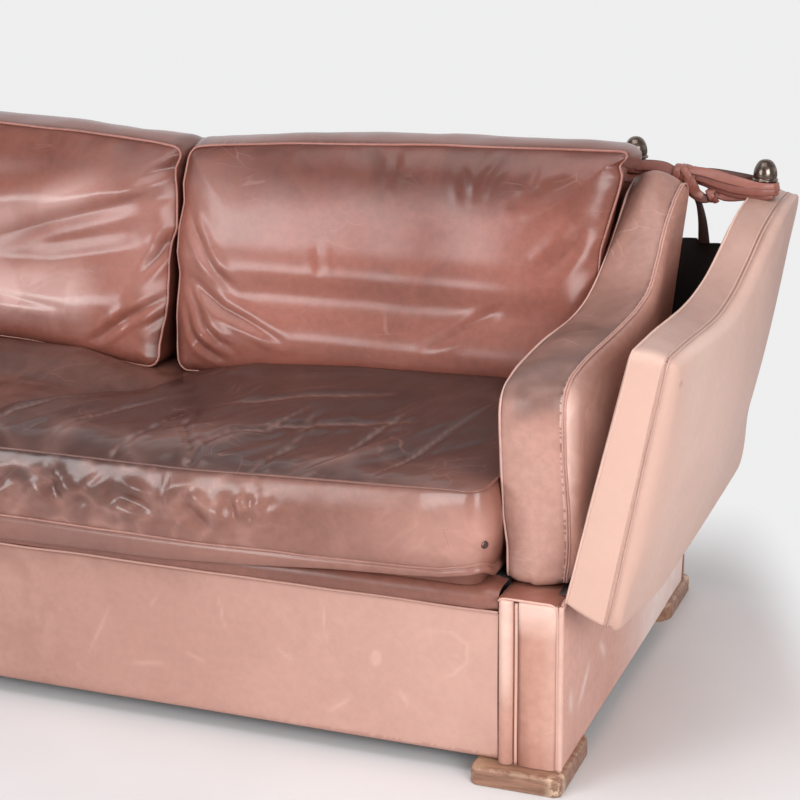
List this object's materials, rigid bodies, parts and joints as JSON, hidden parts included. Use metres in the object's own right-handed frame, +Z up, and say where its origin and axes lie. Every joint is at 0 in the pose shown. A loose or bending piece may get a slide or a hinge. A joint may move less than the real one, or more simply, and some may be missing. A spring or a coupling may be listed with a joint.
{
  "type": "drop-arm sofa",
  "caption": "Worn leather drop-arm sofa with a bench seat cushion, loose back and arm cushions, and padded wings tied back by straps knotted between turned finials.",
  "frame": {"origin": "centre of the sofa's footprint on the floor, under the middle of its bounding box", "axes": "+X towards the arm at the right-hand end of the picture, -Y out of the front, +Z up"},
  "size_m": [2.2136, 0.896, 0.9074],
  "materials": {
    "leather": "worn waxed red-brown leather, creased, with soft highlights",
    "pale_leather": "faded pinkish tan leather with pale scuffs and grey-brown patina",
    "seat_leather": "darkened, polished leather with creases and fine scratches",
    "strap_leather": "red-brown strap leather",
    "stained_wood": "worn brown stain, chipped to pale wood at the corners",
    "timber": "plain sawn timber",
    "bronze": "dark bronze patina, polished on the crown",
    "hinge_steel": "plain steel",
    "webbing": "woven elastic webbing",
    "dark_lining": "black-brown lining cloth"
  },
  "bodies": {
    "sofa": {"arm_base_top_left": "pale_leather", "arm_base_top_right": "pale_leather", "arm_cushion_left": "pale_leather", "arm_cushion_right": "pale_leather", "arm_facing_left": "pale_leather", "arm_facing_right": "pale_leather", "arm_hinge_lower_leaf_left": "hinge_steel", "arm_hinge_lower_leaf_right": "hinge_steel", "arm_hinge_pin_left": "hinge_steel", "arm_hinge_pin_right": "hinge_steel", "arm_side_panel_left": "pale_leather", "arm_side_panel_right": "pale_leather", "back_cushion_left": "leather", "back_cushion_right": "leather", "back_finial_left": "bronze", "back_finial_right": "bronze", "back_inside_panel": "leather", "back_lower_rail": "timber", "back_post_left": "timber", "back_post_right": "timber", "back_side_panel_left": "leather", "back_side_panel_right": "leather", "back_top_panel": "leather", "back_top_rail": "timber", "deck_front_lip": "leather", "dust_cover": "dark_lining", "foot_front_left": "stained_wood", "foot_front_right": "stained_wood", "foot_rear_left": "stained_wood", "foot_rear_right": "stained_wood", "frame_arm_rail_left": "timber", "frame_arm_rail_right": "timber", "frame_centre_rail": "timber", "frame_front_rail": "timber", "frame_rear_rail": "timber", "frame_side_rail_left": "timber", "frame_side_rail_right": "timber", "front_panel": "pale_leather", "gap_lining_left": "dark_lining", "gap_lining_right": "dark_lining", "outside_back_panel": "leather", "seat_cushion": "seat_leather", "seat_deck": "dark_lining", "seat_webbing_1": "webbing", "seat_webbing_2": "webbing", "seat_webbing_3": "webbing", "seat_webbing_4": "webbing", "seat_webbing_5": "webbing", "tie_strap_left": "strap_leather", "tie_strap_right": "strap_leather"},
    "arm_right": {"wing_pad_right": "pale_leather", "wing_board_right": "timber", "wing_inside_panel_right": "leather", "arm_hinge_upper_leaf_right": "hinge_steel", "wing_finial_right": "bronze"},
    "arm_left": {"wing_pad_left": "pale_leather", "wing_board_left": "timber", "wing_inside_panel_left": "leather", "arm_hinge_upper_leaf_left": "hinge_steel", "wing_finial_left": "bronze"}
  },
  "joints": [
    {"name": "arm_right_hinge", "type": "hinge", "parent": "sofa", "child": "arm_right", "pos_m": [0.919, 0, 0.318], "axis": [0, 1, 0], "range_deg": [-9, 0], "deforming": ["tie_strap_right", "gap_lining_right"]},
    {"name": "arm_left_hinge", "type": "hinge", "parent": "sofa", "child": "arm_left", "pos_m": [-0.919, 0, 0.318], "axis": [0, 1, 0], "range_deg": [0, 9], "deforming": ["tie_strap_left", "gap_lining_left"]}
  ]
}
